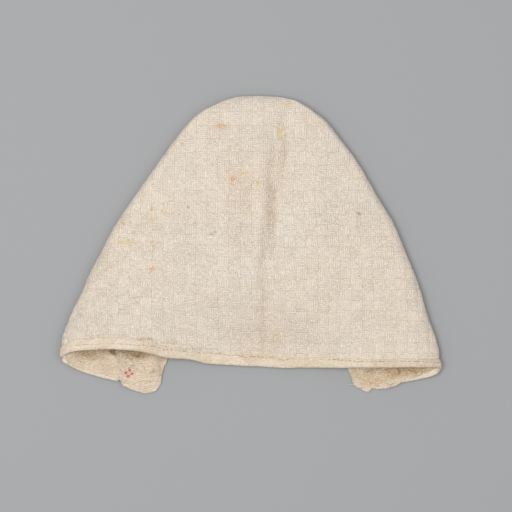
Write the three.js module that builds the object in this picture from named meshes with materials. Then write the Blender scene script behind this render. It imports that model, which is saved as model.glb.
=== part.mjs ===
// A knitted cotton close cap, laid down on its back layer with the mouth towards -Y and the crown towards +Y.
// Two soft layers meet in a rounded fold down each side. The front layer ends in a nearly straight rim.
// The back layer reaches lower as a flap at each side, with an arched nape opening between them.
// A turned hem, sewn to the outside, runs along the front rim and round both folds onto the flaps.
// Sizes are in millimetres, +Z is up, and the origin is on the table under the middle of the cap.

import * as THREE from "three";

const rimWidth = 278; // across the mouth, from side fold to side fold
const crownDepth = 199; // from the front rim's low point to the crown
const flapDrop = 19; // how far the flaps reach below the front rim's low point
const napeRise = 38; // how far the nape opening reaches above it
const loft = 22; // height over the middle as the cap lies
const sideFold = 12; // thickness of the cap at its side folds
const foldReach = 9; // how far in from the outline a fold is rounded
const wall = 2; // knitted fabric
const lipReach = 55; // length over which the front layer rises behind its rim
const flapReach = 70; // length over which the flaps merge into the whole back layer
const creaseWidth = 5; // soft upright crease in the front layer

const hemWidth = 6; // turned hem, measured up from the rim
const hemThickness = 2;
const hemClearance = 0.4; // between the hem and the fabric that it lies on
const hemOverhang = 0.8; // how far the hem stands below the edge of the wall
const hemTableGap = 0.1; // between the hem under the flaps and the table
const hemRamp = 24; // length over which a flap comes back down to the table beyond the hem's end
const hemStart = 0.135; // share of the back rim's length at which the left flap's hem ends
const hemEnd = 0.905; // and the right flap's

const frontColumns = 36;
const backColumns = 48;
const bodyRows = 15;
const domeRows = 6;
const domeStart = 0.88; // share of each column above which the rows close in towards the crown
const hemSides = 8;
const spanColumns = 0.86; // share of the columns that stand between the rounded folds
const probe = 1e-3; // share of a turn or of a column over which a slope is taken

const halfWidth = rimWidth / 2;
const spanShare = 1 - foldReach / halfWidth;

// Cross-sections from the flaps to the crown. up is a share of crownDepth, left and right are shares of
// halfWidth, middle is a share of loft and fold a share of sideFold.
const SECTIONS = [
  { up: -0.1, left: 0.97, right: 0.99, middle: 0.82, fold: 1.0 },
  { up: 0.0, left: 0.98, right: 0.99, middle: 0.88, fold: 1.0 },
  { up: 0.05, left: 0.994, right: 0.982, middle: 0.92, fold: 1.0 },
  { up: 0.09, left: 1.0, right: 0.969, middle: 0.94, fold: 1.0 },
  { up: 0.175, left: 0.968, right: 0.938, middle: 0.99, fold: 1.0 },
  { up: 0.295, left: 0.89, right: 0.887, middle: 1.0, fold: 0.98 },
  { up: 0.353, left: 0.856, right: 0.859, middle: 1.0, fold: 0.96 },
  { up: 0.41, left: 0.804, right: 0.824, middle: 0.98, fold: 0.95 },
  { up: 0.53, left: 0.716, right: 0.753, middle: 0.93, fold: 0.92 },
  { up: 0.65, left: 0.599, right: 0.652, middle: 0.86, fold: 0.89 },
  { up: 0.765, left: 0.48, right: 0.554, middle: 0.77, fold: 0.86 },
  { up: 0.855, left: 0.393, right: 0.459, middle: 0.69, fold: 0.83 },
  { up: 0.915, left: 0.323, right: 0.387, middle: 0.62, fold: 0.82 },
  { up: 0.945, left: 0.268, right: 0.333, middle: 0.58, fold: 0.81 },
  { up: 0.973, left: 0.185, right: 0.262, middle: 0.54, fold: 0.8 },
  { up: 0.995, left: 0.085, right: 0.155, middle: 0.5, fold: 0.8 },
  { up: 1.0, left: 0.0, right: 0.0, middle: 0.5, fold: 0.8 },
];

// The front rim from the left fold to the right one. across is a share of the half width there and up a
// share of crownDepth. rise is how high the fabric stands clear of the table, as a share of the most that
// loft allows. hem is a share of hemWidth.
const FRONT_RIM = [
  { across: -1.0, up: 0.05, rise: 0.4, hem: 1.0 },
  { across: -0.95, up: 0.065, rise: 0.52, hem: 1.0 },
  { across: -0.85, up: 0.072, rise: 0.65, hem: 1.0 },
  { across: -0.73, up: 0.073, rise: 0.71, hem: 1.0 },
  { across: -0.64, up: 0.069, rise: 0.7, hem: 1.0 },
  { across: -0.54, up: 0.055, rise: 0.58, hem: 1.0 },
  { across: -0.43, up: 0.044, rise: 0.38, hem: 1.1 },
  { across: -0.32, up: 0.041, rise: 0.21, hem: 0.8 },
  { across: -0.25, up: 0.027, rise: 0.12, hem: 1.1 },
  { across: -0.1, up: 0.02, rise: 0.08, hem: 1.05 },
  { across: 0.05, up: 0.014, rise: 0.07, hem: 1.05 },
  { across: 0.2, up: 0.008, rise: 0.08, hem: 1.0 },
  { across: 0.45, up: 0.008, rise: 0.22, hem: 0.9 },
  { across: 0.6, up: 0.008, rise: 0.42, hem: 0.8 },
  { across: 0.73, up: 0.008, rise: 0.56, hem: 0.77 },
  { across: 0.86, up: 0.008, rise: 0.6, hem: 0.76 },
  { across: 1.0, up: 0.008, rise: 0.42, hem: 0.76 },
];

// The back rim from the left fold, round the left flap, over the nape opening and round the right flap to
// the right fold. across is a share of halfWidth. drop is a share of flapDrop, below the front rim's low
// point, and climb a share of napeRise, above it.
const BACK_RIM = [
  { across: -0.994, drop: 0, climb: 0.262 },
  { across: -0.97, drop: 0, climb: 0.14 },
  { across: -0.925, drop: 0, climb: 0.06 },
  { across: -0.81, drop: 0.23, climb: 0 },
  { across: -0.7, drop: 0.46, climb: 0 },
  { across: -0.675, drop: 0.64, climb: 0 },
  { across: -0.615, drop: 0.84, climb: 0 },
  { across: -0.555, drop: 0.95, climb: 0 },
  { across: -0.515, drop: 0.92, climb: 0 },
  { across: -0.487, drop: 0.66, climb: 0 },
  { across: -0.473, drop: 0.2, climb: 0 },
  { across: -0.455, drop: 0, climb: 0.1 },
  { across: -0.41, drop: 0, climb: 0.5 },
  { across: -0.31, drop: 0, climb: 0.84 },
  { across: -0.16, drop: 0, climb: 0.97 },
  { across: 0.04, drop: 0, climb: 1 },
  { across: 0.24, drop: 0, climb: 0.96 },
  { across: 0.4, drop: 0, climb: 0.8 },
  { across: 0.485, drop: 0, climb: 0.46 },
  { across: 0.515, drop: 0, climb: 0.02 },
  { across: 0.535, drop: 0.4, climb: 0 },
  { across: 0.56, drop: 0.74, climb: 0 },
  { across: 0.605, drop: 0.9, climb: 0 },
  { across: 0.68, drop: 0.8, climb: 0 },
  { across: 0.795, drop: 0.53, climb: 0 },
  { across: 0.9, drop: 0.27, climb: 0 },
  { across: 0.97, drop: 0.08, climb: 0 },
  { across: 0.99, drop: 0, climb: 0.042 },
];

// The soft upright crease in the front layer. up is a share of crownDepth, across a share of halfWidth,
// depth a share of loft and width a share of creaseWidth.
const CREASE = [
  { up: 0.0, across: 0.0, depth: 0.0, width: 1.1 },
  { up: 0.15, across: 0.01, depth: 0.05, width: 1.1 },
  { up: 0.33, across: 0.035, depth: 0.05, width: 1.0 },
  { up: 0.42, across: 0.075, depth: 0.08, width: 0.8 },
  { up: 0.5, across: 0.1, depth: 0.14, width: 0.7 },
  { up: 0.6, across: 0.105, depth: 0.15, width: 0.7 },
  { up: 0.71, across: 0.115, depth: 0.11, width: 0.8 },
  { up: 0.82, across: 0.15, depth: 0.07, width: 0.9 },
  { up: 0.9, across: 0.175, depth: 0.04, width: 0.9 },
  { up: 0.97, across: 0.19, depth: 0.0, width: 0.9 },
];

// Broad dents, with a negative height, and swellings of the front layer. across and spread are shares of
// halfWidth, up is a share of crownDepth and height a share of loft.
const DENTS = [
  { across: -0.74, up: 0.21, spread: 0.13, height: -0.07 },
  { across: -0.1, up: 0.14, spread: 0.16, height: -0.06 },
  { across: -0.42, up: 0.34, spread: 0.2, height: 0.05 },
  { across: -0.14, up: 0.62, spread: 0.1, height: -0.05 },
  { across: 0.5, up: 0.2, spread: 0.2, height: 0.05 },
  { across: 0.36, up: 0.55, spread: 0.15, height: 0.04 },
];

// The value in one column of a table at a place along another column, on a smooth curve through its rows
// that never overshoots them.
function read(table, along, column, place) {
  const knots = table.map((row) => row[along]);
  const values = table.map((row) => row[column]);
  const last = knots.length - 1;
  const at = THREE.MathUtils.clamp(place, knots[0], knots[last]);
  let i = 0;
  while (i < last - 1 && at > knots[i + 1]) {
    i++;
  }
  const slope = (k) => (values[k + 1] - values[k]) / (knots[k + 1] - knots[k]);
  const tangent = (k) => {
    if (k === 0) return slope(0);
    if (k === last) return slope(last - 1);
    const before = slope(k - 1);
    const after = slope(k);
    return before * after > 0 ? (2 * before * after) / (before + after) : 0;
  };
  const span = knots[i + 1] - knots[i];
  const t = (at - knots[i]) / span;
  const straight = THREE.MathUtils.lerp(values[i], values[i + 1], t * t * (3 - 2 * t));
  return straight + span * t * (1 - t) * ((1 - t) * tangent(i) - t * tangent(i + 1));
}

// 1 at the start, falling smoothly to 0 at the given distance.
function fade(distance, reach) {
  return 1 - THREE.MathUtils.smoothstep(distance, 0, reach);
}

const backRim = new THREE.CatmullRomCurve3(
  BACK_RIM.map((row) => {
    const y = row.climb * napeRise - row.drop * flapDrop;
    return new THREE.Vector3(row.across * halfWidth, y, 0);
  }),
  false,
  "centripetal",
);
const backRimLength = backRim.getLength();

// The sections' half widths, squared, because those of a round crown change evenly up to its top.
const SQUARES = SECTIONS.map((row) => ({
  up: row.up,
  left: row.left ** 2,
  right: row.right ** 2,
}));

// Half the cap's width at height y, towards the left or the right.
function sideAt(y, side) {
  return halfWidth * Math.sqrt(Math.max(0, read(SQUARES, "up", side, y / crownDepth)));
}

// Where a column stands across the cap, from -1 to 1, and the share of the thickness that is left there.
function columnPlace(s) {
  const beyond = (Math.abs(s) - spanColumns) / (1 - spanColumns);
  if (beyond <= 0) {
    return { q: (s / spanColumns) * spanShare, fullness: 1 };
  }
  const angle = (Math.min(beyond, 1) * Math.PI) / 2;
  const q = Math.sign(s) * (spanShare + (1 - spanShare) * Math.sin(angle));
  return { q, fullness: Math.cos(angle) };
}

// The height of the front layer's top side, before the folds round it off.
function topHeight(q, x, y, aboveRim) {
  const up = y / crownDepth;
  const edge = sideFold * read(SECTIONS, "up", "fold", up);
  const middle = loft * read(SECTIONS, "up", "middle", up);
  let height = edge + (middle - edge) * (1 - q * q);
  for (const dent of DENTS) {
    const dx = x - dent.across * halfWidth;
    const dy = y - dent.up * crownDepth;
    const spread = dent.spread * halfWidth;
    height += dent.height * loft * Math.exp(-(dx * dx + dy * dy) / spread ** 2);
  }
  const creaseX = halfWidth * read(CREASE, "up", "across", up);
  const creaseSpread = creaseWidth * read(CREASE, "up", "width", up);
  const creaseDepth = loft * read(CREASE, "up", "depth", up);
  height -= creaseDepth * Math.exp(-(((x - creaseX) / creaseSpread) ** 2));
  const rimHeight = wall + (loft - wall) * read(FRONT_RIM, "across", "rise", q);
  return THREE.MathUtils.lerp(height, rimHeight, fade(aboveRim, lipReach));
}

// The height of the back layer's underside: flat on the table, but lifted where the hem lies under it.
function underHeight(rimShare, aboveRim) {
  const past = (share) => fade(share * backRimLength, hemRamp);
  const hemmed = past(rimShare - hemStart) + past(hemEnd - rimShare);
  const lift = hemThickness + hemClearance + hemTableGap;
  return lift * hemmed * fade(aboveRim - hemWidth, hemRamp);
}

// A point of the outside. turn runs once round the cap, over the front layer from the left fold to the
// right one and back over the back layer. climb runs up a column from the rim at 0 to the crown at 1.
function outside(turn, climb) {
  const round = THREE.MathUtils.euclideanModulo(turn, 1);
  const front = round <= 0.5;
  const s = front ? 4 * round - 1 : 3 - 4 * round;
  const side = s < 0 ? "left" : "right";
  const rimShare = (s + 1) / 2;
  const { q, fullness } = columnPlace(s);
  const frontRimY = crownDepth * read(FRONT_RIM, "across", "up", q);
  const backRimPoint = backRim.getPointAt(rimShare);
  const rimY = front ? frontRimY : backRimPoint.y;
  const y = THREE.MathUtils.lerp(rimY, crownDepth, climb);
  let x = q * sideAt(y, side);
  if (!front) {
    x += (backRimPoint.x - q * sideAt(rimY, side)) * fade(y - rimY, flapReach);
  }
  const middle = (sideFold * read(SECTIONS, "up", "fold", y / crownDepth)) / 2;
  const intoDome = Math.max(0, 1 - (crownDepth - y) / foldReach);
  const thickness = fullness * Math.sqrt(Math.max(0, 1 - intoDome ** 2));
  const level = front ? topHeight(q, x, y, y - rimY) : underHeight(rimShare, y - rimY);
  return new THREE.Vector3(x, y, THREE.MathUtils.lerp(middle, level, thickness));
}

// The direction that the outside faces at a point, straight up the cap at the crown.
function outwards(turn, climb) {
  if (climb > 1 - probe) return new THREE.Vector3(0, 1, 0);
  const along = outside(turn + probe, climb).sub(outside(turn - probe, climb));
  const up = outside(turn, climb + probe).sub(outside(turn, climb - probe));
  return along.cross(up).normalize();
}

function closedMesh(points, triangles) {
  const geometry = new THREE.BufferGeometry();
  geometry.setFromPoints(points);
  geometry.setIndex(triangles.flat());
  geometry.computeVertexNormals();
  return geometry;
}

// Joins two rings of equal size, that start at two indices, by triangles that face outwards.
function band(lower, upper, count) {
  const triangles = [];
  for (let k = 0; k < count; k++) {
    const next = (k + 1) % count;
    triangles.push([lower + k, upper + next, upper + k]);
    triangles.push([lower + k, lower + next, upper + next]);
  }
  return triangles;
}

// The turn at which each column stands. They are closer together round the back, where the flaps are.
function columnTurns() {
  const turns = [];
  for (let k = 0; k < frontColumns; k++) {
    turns.push((0.5 * k) / frontColumns);
  }
  for (let k = 0; k < backColumns; k++) {
    turns.push(0.5 + (0.5 * k) / backColumns);
  }
  return turns;
}

// The climb of each row, with one at the hem's upper edge.
function rowClimbs() {
  const climbs = [0, hemWidth / crownDepth];
  for (let k = 1; k <= bodyRows; k++) {
    climbs.push((domeStart * k) / bodyRows);
  }
  for (let k = 1; k < domeRows; k++) {
    const share = Math.sin((0.5 * Math.PI * k) / domeRows);
    climbs.push(THREE.MathUtils.lerp(domeStart, 1, share));
  }
  return climbs.sort((a, b) => a - b);
}

// The hollow knitted body: the outside, and the inside a wall's thickness behind it.
function knittedBody() {
  const turns = columnTurns();
  const climbs = rowClimbs();
  const count = turns.length;
  const outer = [];
  const inner = [];
  for (const climb of climbs) {
    for (const turn of turns) {
      const point = outside(turn, climb);
      outer.push(point);
      inner.push(point.clone().addScaledVector(outwards(turn, climb), -wall));
    }
  }
  const crown = outside(0, 1);
  outer.push(crown);
  inner.push(crown.clone().addScaledVector(outwards(0, 1), -wall));
  const start = outer.length;
  const top = (climbs.length - 1) * count;
  const triangles = band(start, 0, count);
  for (let row = 0; row < top; row += count) {
    triangles.push(...band(row, row + count, count));
    triangles.push(...band(start + row + count, start + row, count));
  }
  for (let k = 0; k < count; k++) {
    const next = (k + 1) % count;
    triangles.push([top + k, top + next, start - 1]);
    triangles.push([start + top + next, start + top + k, 2 * start - 1]);
  }
  return closedMesh([...outer, ...inner], triangles);
}

// The turns at which the hem's sections stand: one at each end, and one on each column between them.
function hemTurns() {
  const first = -hemStart / 2;
  const last = 1 - hemEnd / 2;
  const ahead = columnTurns();
  const behind = ahead.map((turn) => turn - 1);
  const between = [...behind, ...ahead].filter((turn) => turn > first && turn < last);
  return [first, ...between, last];
}

// The hem: an oval strip that lies on the outside of the wall along the rim, flat at its two ends.
function turnedHem() {
  const turns = hemTurns();
  const points = [];
  for (const turn of turns) {
    const rim = outside(turn, 0);
    const width = hemWidth * read(FRONT_RIM, "across", "hem", rim.x / halfWidth);
    for (let side = 0; side < hemSides; side++) {
      const angle = (2 * Math.PI * side) / hemSides;
      const up = (width / 2) * (1 + Math.cos(angle)) - hemOverhang;
      const out = hemClearance + (hemThickness / 2) * (1 + Math.sin(angle));
      const climb = up / (crownDepth - rim.y);
      points.push(outside(turn, climb).addScaledVector(outwards(turn, climb), out));
    }
  }
  const triangles = [];
  const last = (turns.length - 1) * hemSides;
  for (let ring = 0; ring < last; ring += hemSides) {
    triangles.push(...band(ring, ring + hemSides, hemSides));
  }
  for (let side = 1; side < hemSides - 1; side++) {
    triangles.push([0, side + 1, side]);
    triangles.push([last, last + side, last + side + 1]);
  }
  return closedMesh(points, triangles);
}

const creamCotton = new THREE.MeshStandardMaterial({
  color: 0xe3d8c4,
  roughness: 0.95,
  metalness: 0,
});
const hemCotton = new THREE.MeshStandardMaterial({
  color: 0xe9dcc2,
  roughness: 0.92,
  metalness: 0,
});

const cap = new THREE.Group();
const body = new THREE.Mesh(knittedBody(), creamCotton);
body.name = "knitted_body";
const hem = new THREE.Mesh(turnedHem(), hemCotton);
hem.name = "turned_hem";
cap.add(body, hem);

// The origin goes on the table, under the middle of the whole cap.
const bounds = new THREE.Box3().setFromObject(cap);
const centre = bounds.getCenter(new THREE.Vector3());
for (const piece of cap.children) {
  piece.position.set(-centre.x, -centre.y, -bounds.min.z);
}

export default cap;
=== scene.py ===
# A knitted cotton close cap, lying on its back layer with its mouth towards -Y and its crown towards +Y.
# Shapes are worked out in millimetres, in the cap's own frame: x across from its middle, y up from the low
# point of the front rim and z up from the table. They are turned into metres where a mesh is made.

import math

import bpy
import numpy as np
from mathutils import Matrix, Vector


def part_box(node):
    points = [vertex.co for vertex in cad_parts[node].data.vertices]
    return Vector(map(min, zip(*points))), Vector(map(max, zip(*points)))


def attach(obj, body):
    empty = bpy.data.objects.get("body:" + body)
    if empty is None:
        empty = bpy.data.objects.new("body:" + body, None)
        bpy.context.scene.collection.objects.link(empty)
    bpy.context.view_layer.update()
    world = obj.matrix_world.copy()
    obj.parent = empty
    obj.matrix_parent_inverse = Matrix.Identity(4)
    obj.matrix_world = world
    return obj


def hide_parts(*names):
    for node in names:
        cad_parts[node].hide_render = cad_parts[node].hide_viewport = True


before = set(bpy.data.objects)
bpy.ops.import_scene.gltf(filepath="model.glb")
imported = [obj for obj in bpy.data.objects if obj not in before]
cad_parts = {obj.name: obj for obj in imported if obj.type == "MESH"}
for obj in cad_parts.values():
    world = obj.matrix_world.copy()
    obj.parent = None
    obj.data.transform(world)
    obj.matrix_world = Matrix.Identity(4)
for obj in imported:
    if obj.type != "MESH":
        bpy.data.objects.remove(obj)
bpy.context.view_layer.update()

BODY_LOW, BODY_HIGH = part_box("knitted_body")
MM = 0.001

# The sizes that the cap is built from.
RIM_WIDTH = 278.0  # across the mouth, from side fold to side fold
CROWN_DEPTH = 200.5  # up from the front rim's low point
FLAP_DROP = 19.0  # how far the flaps reach below that low point
NAPE_RISE = 38.0  # how far the nape opening reaches above it
LOFT = 22.0  # height over the middle as the cap lies, before its soft folds
SIDE_FOLD = 12.0  # thickness at the side folds
FOLD_REACH = 9.0  # how far in from the outline a fold is rounded
WALL = 2.0  # knitted fabric
LIP_REACH = 62.0  # length over which the front layer rises behind its rim
FLAP_REACH = 70.0  # length over which the flaps merge into the whole back layer
CREASE_WIDTH = 5.0

HEM_WIDTH = 6.0
HEM_THICKNESS = 2.0
HEM_CLEARANCE = 0.4  # between the hem and the fabric that it lies on
HEM_OVERHANG = 1.3  # how far the hem stands below the edge of the wall
HEM_INSET = 0.4  # how far that edge is drawn up inside it
HEM_TABLE_GAP = 0.1
HEM_RAMP = 24.0  # length over which a flap comes back down to the table beyond the hem's end
HEM_START = 0.135  # share of the back rim's length at which the left flap's hem ends
HEM_END = 0.905  # and the right flap's

HALF_WIDTH = RIM_WIDTH / 2
SPAN_COLUMNS = 0.86  # share of the columns between the rounded folds
SPAN_SHARE = 1 - FOLD_REACH / HALF_WIDTH
PROBE = 1e-3  # share of a turn or of a column over which a slope is taken

# The knit: a checkerboard of plain and purl blocks.
BLOCK_WIDTH = 8.15
BLOCK_HEIGHT_LOW = 8.1  # near the rim
BLOCK_HEIGHT_HIGH = 10.1  # near the crown
BLOCK_STRETCH = (90.0, 190.0)  # heights between which the blocks grow
BLOCK_LEVELS = np.linspace(-60, 220, 561)  # where they are counted
BLOCK_STITCHES = 5.0
BLOCK_ROWS = 6.0
ROWS_FOLLOW_RIM = 110.0  # height over which the rows lose the rim's curve
BLOCK_RELIEF = 0.3  # how far a block's middle stands above its borders
BLOCK_FLATNESS = (4, 5)  # how flat its top is, across and up
BLOCK_LEAST = 0.75  # share of the relief without its unevenness
PURL_RAISE = 0.12  # how far the purl blocks stand above the plain ones

# Unevenness, as layers of noise: the strength, the width and length of the cells, how far they are shifted
# both ways, and the seed. The cells of BLOCK_UNEVEN are measured in blocks, and the hem's widths in turns.
SLACK = [(0.5, 26, 42, 7, 0, 11), (0.18, 11, 19, 0, 5, 12)]
PUCKERS = [(0.3, 6.5, 40, 0, 9, 13)]
EDGE_LUMPS = [(0.7, 2.7, 1, 0, 0.5, 21), (0.5, 7.5, 1, 0, 3.5, 22)]
BLOCK_SWAY = [(0.09, 26, 30, 0, 0, 31)]
BLOCK_SWELL = [(0.09, 30, 26, 4, 0, 32)]
BLOCK_UNEVEN = [(0.6, 1 / 1.37, 1 / 1.71, 3.2, 5.6, 33)]
STAIN_SWAY = [(0.9, 1.9, 1.9, 0, 0, 41)]
STAIN_SWELL = [(0.9, 1.9, 1.9, 9, 0, 42)]
HEM_UNEVEN = [(0.3, 1 / 55, 1, 0, 0.5, 51), (0.2, 1 / 170, 1, 0, 3.5, 53)]
HEM_THICK = [(0.12, 1 / 90, 1 / 0.8, 0, 0, 52), (0.1, 1 / 240, 1 / 0.9, 0, 0, 54)]
HEM_SAG = [(0.35, 1 / 42, 1, 0, 1.5, 55), (0.175, 1 / 110, 1, 0, 2.5, 56)]
PURL_LUMPS = [(0.42, 1.9, 1.5, 0, 0, 61), (0.28, 5.0, 3.4, 0, 0, 62)]


def table(names, rows):
    """The columns of a table by name, each as an array. The first column is the place of each row."""
    return dict(zip(names.split(), np.array(rows, float).T))


# Sections from the flaps to the crown. up is a share of CROWN_DEPTH, left and right are shares of
# HALF_WIDTH, middle is a share of LOFT and fold a share of SIDE_FOLD.
SECTIONS = table("up left right middle fold", [
    (-0.1, 0.97, 0.99, 0.82, 1),
    (0, 0.98, 0.99, 0.88, 1),
    (0.05, 1.004, 0.99, 0.92, 1),
    (0.089, 1.006, 0.98, 0.94, 1),
    (0.174, 0.97, 0.938, 0.99, 1),
    (0.293, 0.89, 0.887, 1, 0.98),
    (0.35, 0.856, 0.859, 1, 0.96),
    (0.407, 0.812, 0.824, 0.98, 0.95),
    (0.526, 0.722, 0.753, 0.93, 0.92),
    (0.645, 0.605, 0.652, 0.86, 0.89),
    (0.759, 0.489, 0.556, 0.77, 0.86),
    (0.849, 0.396, 0.459, 0.69, 0.83),
    (0.908, 0.325, 0.391, 0.62, 0.82),
    (0.938, 0.276, 0.337, 0.58, 0.81),
    (0.966, 0.2, 0.277, 0.54, 0.8),
    (0.9815, 0.152, 0.238, 0.52, 0.8),
    (0.989, 0.12, 0.2, 0.51, 0.8),
    (0.996, 0.082, 0.13, 0.5, 0.8),
    (1, 0, 0, 0.5, 0.8),
])

# The front rim from the left fold to the right one. across is a share of the half width there and up a
# share of CROWN_DEPTH. rise is how high the fabric stands clear of the table, as a share of the most that
# LOFT allows. hem is a share of HEM_WIDTH, and sewn is where the seam runs, as a share of the hem's width
# above its lower edge.
FRONT_RIM = table("across up rise hem sewn", [
    (-1, 0.0493, 0.3, 1.05, 0.55),
    (-0.95, 0.067, 0.45, 1.2, 0.5),
    (-0.85, 0.076, 0.63, 1.28, 0.47),
    (-0.73, 0.08, 0.71, 1.24, 0.46),
    (-0.64, 0.077, 0.7, 1.15, 0.5),
    (-0.54, 0.065, 0.58, 1.15, 0.64),
    (-0.43, 0.045, 0.38, 1.14, 0.78),
    (-0.33, 0.04, 0.21, 0.82, 0.86),
    (-0.235, 0.024, 0.12, 1.22, 0.93),
    (-0.1, 0.018, 0.08, 1.22, 0.85),
    (0.05, 0.0135, 0.07, 1.22, 0.8),
    (0.2, 0.0075, 0.08, 1.14, 0.83),
    (0.45, 0.008, 0.22, 1.02, 0.85),
    (0.6, 0.011, 0.42, 0.87, 0.7),
    (0.73, 0.0125, 0.56, 0.82, 0.71),
    (0.86, 0.0125, 0.6, 0.83, 0.68),
    (1, 0.0105, 0.42, 0.84, 0.65),
])

# The back rim from the left fold, round the left flap, over the nape opening and round the right flap to
# the right fold. across is a share of HALF_WIDTH. up is a share of NAPE_RISE above the front rim's low
# point, and of FLAP_DROP below it.
BACK_RIM = table("across up", [
    (-0.998, 0.26),
    (-0.98, 0.11),
    (-0.935, 0.015),
    (-0.81, -0.27),
    (-0.705, -0.47),
    (-0.67, -0.62),
    (-0.615, -0.8),
    (-0.555, -0.91),
    (-0.515, -0.86),
    (-0.491, -0.62),
    (-0.48, -0.2),
    (-0.46, 0.1),
    (-0.41, 0.5),
    (-0.31, 0.84),
    (-0.16, 0.97),
    (0.04, 1),
    (0.24, 0.96),
    (0.4, 0.8),
    (0.485, 0.46),
    (0.515, 0.02),
    (0.53, -0.36),
    (0.552, -0.68),
    (0.59, -0.82),
    (0.638, -0.8),
    (0.71, -0.78),
    (0.77, -0.65),
    (0.82, -0.5),
    (0.9, -0.335),
    (0.955, -0.23),
    (0.985, -0.12),
    (0.998, 0.055),
])

# The soft upright crease in the front layer. up is a share of CROWN_DEPTH, across a share of HALF_WIDTH,
# depth a share of LOFT and width a share of CREASE_WIDTH.
CREASE = table("up across depth width", [
    (0, 0, 0, 1.1),
    (0.15, 0.01, 0.05, 1.1),
    (0.33, 0.035, 0.05, 1),
    (0.42, 0.08, 0.08, 0.9),
    (0.5, 0.1, 0.13, 0.85),
    (0.6, 0.102, 0.155, 0.8),
    (0.69, 0.108, 0.14, 0.85),
    (0.76, 0.12, 0.1, 0.95),
    (0.86, 0.155, 0.075, 1.1),
    (0.97, 0.19, 0, 0.9),
])

# Broad dents, with a negative height, and swellings of the front layer. across and spread are shares of
# HALF_WIDTH, up is a share of CROWN_DEPTH and height a share of LOFT.
DENTS = table("across up spread height", [
    (-0.74, 0.21, 0.13, -0.07),
    (-0.1, 0.14, 0.16, -0.06),
    (-0.42, 0.34, 0.2, 0.05),
    (-0.14, 0.62, 0.1, -0.05),
    (0.5, 0.2, 0.2, 0.05),
    (0.36, 0.55, 0.15, 0.04),
])

# Soft folds of the front layer, as straight lines from a low end to a high end, in millimetres. height is
# that of the fold's crest, or less than nothing for a trough, and left and right are how far it spreads.
FOLDS = table("low_x low_y high_x high_y height left right", [
    (-22, 80, -30, 172, 1, 30, 26),  # shoulder to the left of the crease
    (24, 84, 25, 178, 0.9, 6, 30),  # and the one to its right
    (1, 6, 4, 92, 1.1, 18, 6),  # low ridge under the crease
    (18, 134, 24, 180, -1, 4, 4),  # the crease's two upper branches
    (13, 134, 12, 176, -0.8, 3, 3),
    (76, 38, 86, 76, 0.6, 7, 5),  # slanting fold on the right
    (-118, 22, -96, 62, -0.5, 9, 8),  # the slack by the left corner
    (104, 12, 88, 40, 0.5, 14, 12),
    (-60, 14, -66, 60, 0.45, 12, 14),
    (52, 16, 47, 66, 0.4, 10, 14),
    (-38, 110, -46, 168, -0.35, 8, 9),
    (62, 96, 50, 160, 0.4, 12, 9),
])
FOLD_END = 16.0  # length over which such a fold dies away beyond its ends
SLACK_START = 30.0  # height above the rim at which the cloth's slack is full
PUCKER_REACH = 13.0  # and how far up the puckers of the hem's stitches reach

# Where the bare edge swells past its line, in millimetres across the cap: it grows from low to rise, is full
# up to sink and is gone at high. out is how far it stands beyond.
EDGE_BUMPS = table("low rise sink high out", [
    (-97.8, -93.5, -89, -72, 2.2),
    (81.2, 84, 85.4, 88.6, 1.9),
])
EDGE_SWELL = 0.6  # and the whole bare edge
EDGE_LUMP_REACH = 7.0  # how far above the edge its lumps are gone
BARE_RAMP = 0.012  # share of the back rim over which the bare edge begins at the hem's end


def read(columns, column, place):
    """A column of a table at places along its first one, on a smooth curve that never overshoots its rows."""
    knots, values = next(iter(columns.values())), columns[column]
    slopes = np.diff(values) / np.diff(knots)
    tangents = np.concatenate([slopes[:1], np.zeros(len(slopes) - 1), slopes[-1:]])
    product = slopes[:-1] * slopes[1:]
    total = np.where(product > 0, slopes[:-1] + slopes[1:], 1)
    tangents[1:-1] = np.where(product > 0, 2 * product / total, 0)
    at = np.clip(place, knots[0], knots[-1])
    i = np.clip(np.searchsorted(knots, at, side="left") - 1, 0, len(slopes) - 1)
    span = knots[i + 1] - knots[i]
    t = (at - knots[i]) / span
    straight = values[i] + (values[i + 1] - values[i]) * t * t * (3 - 2 * t)
    return straight + span * t * (1 - t) * ((1 - t) * tangents[i] - t * tangents[i + 1])


def smooth(value, low, high):
    """0 below low and 1 above high, with a smooth way between."""
    t = np.clip((value - low) / (high - low), 0, 1)
    return t * t * (3 - 2 * t)


def fade(distance, reach):
    """1 at the start, falling smoothly to 0 at the given distance."""
    return 1 - smooth(distance, 0, reach)


def hill(*shares):
    """1 where all the shares are 0, falling away smoothly as they grow."""
    return np.exp(-sum(share**2 for share in shares))


def mix(a, b, share):
    return a + (b - a) * share


def unit(vectors):
    return vectors / np.maximum(np.linalg.norm(vectors, axis=-1, keepdims=True), 1e-9)


def lengths_along(points):
    """How far along a line of points each of them lies."""
    return np.concatenate([[0], np.cumsum(np.linalg.norm(np.diff(points, axis=0), axis=1))])


LATTICE = 64


def noise(x, y, seed):
    """Smooth noise between -1 and 1, with a random value at each whole place."""
    values = np.random.default_rng(seed).uniform(-1, 1, (LATTICE, LATTICE))
    column, row = np.floor(x).astype(int), np.floor(y).astype(int)
    across, up = smooth(x - column, 0, 1), smooth(y - row, 0, 1)

    def at(i, j):
        return values[(column + i) % LATTICE, (row + j) % LATTICE]

    return mix(mix(at(0, 0), at(1, 0), across), mix(at(0, 1), at(1, 1), across), up)


def uneven(x, y, layers):
    """The sum of the layers of an unevenness."""
    total = 0
    for strength, wide, high, shift_x, shift_y, seed in layers:
        total = total + strength * noise(x / wide + shift_x, y / high + shift_y, seed)
    return total


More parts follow.
